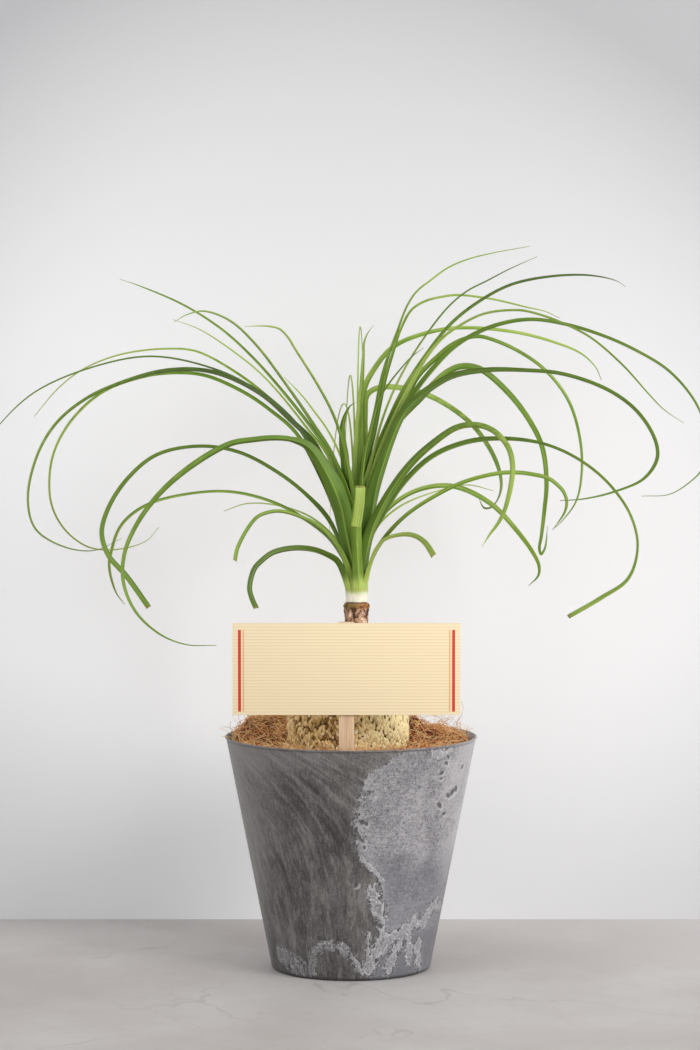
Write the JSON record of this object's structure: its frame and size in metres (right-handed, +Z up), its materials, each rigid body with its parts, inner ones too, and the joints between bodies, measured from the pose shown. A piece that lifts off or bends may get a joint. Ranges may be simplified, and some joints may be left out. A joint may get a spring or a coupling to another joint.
{
  "type": "potted ponytail palm",
  "caption": "Ponytail palm with a swollen corky trunk and a crown of long arching leaves, in a tapered marbled pot with coir mulch and a plain display card on a stake.",
  "frame": {"origin": "centre of the pot's flat underside", "axes": "+Z up along the pot's axis, +X to the right and -Y to the front, the side where the display card stands"},
  "size_m": [0.7679, 0.4504, 0.7754],
  "materials": {
    "pot_stone": "satin marbled grey",
    "soil_dark": "matte",
    "coir_orange": "matte fibrous",
    "cork_bark": "matte corky",
    "sheath_green": "satin",
    "leaf_green": "satin",
    "card_cream": "matte printed stripes",
    "stake_wood": "matte"
  },
  "bodies": {
    "root": {"pot": "pot_stone", "soil": "soil_dark", "coir_mulch": "coir_orange", "trunk": "cork_bark", "crown_sheaths": "sheath_green", "sign_card": "card_cream", "sign_stake": "stake_wood", "leaf_left_01": "leaf_green", "leaf_left_02": "leaf_green", "leaf_left_03": "leaf_green", "leaf_left_04": "leaf_green", "leaf_left_05": "leaf_green", "leaf_left_06": "leaf_green", "leaf_left_07": "leaf_green", "leaf_left_08": "leaf_green", "leaf_left_09": "leaf_green", "leaf_left_10": "leaf_green", "leaf_left_11": "leaf_green", "leaf_left_12": "leaf_green", "leaf_left_13": "leaf_green", "leaf_left_14": "leaf_green", "leaf_top_01": "leaf_green", "leaf_top_02": "leaf_green", "leaf_top_03": "leaf_green", "leaf_right_01": "leaf_green", "leaf_right_02": "leaf_green", "leaf_right_03": "leaf_green", "leaf_right_04": "leaf_green", "leaf_right_05": "leaf_green", "leaf_right_06": "leaf_green", "leaf_right_07": "leaf_green", "leaf_right_08": "leaf_green", "leaf_right_09": "leaf_green", "leaf_right_10": "leaf_green", "leaf_right_11": "leaf_green", "leaf_right_12": "leaf_green", "leaf_right_13": "leaf_green", "leaf_right_14": "leaf_green", "leaf_right_15": "leaf_green", "leaf_right_16": "leaf_green", "leaf_right_17": "leaf_green", "leaf_back_01": "leaf_green", "leaf_back_02": "leaf_green", "leaf_back_03": "leaf_green", "leaf_back_04": "leaf_green", "leaf_back_05": "leaf_green", "leaf_back_06": "leaf_green"}
  },
  "joints": []
}
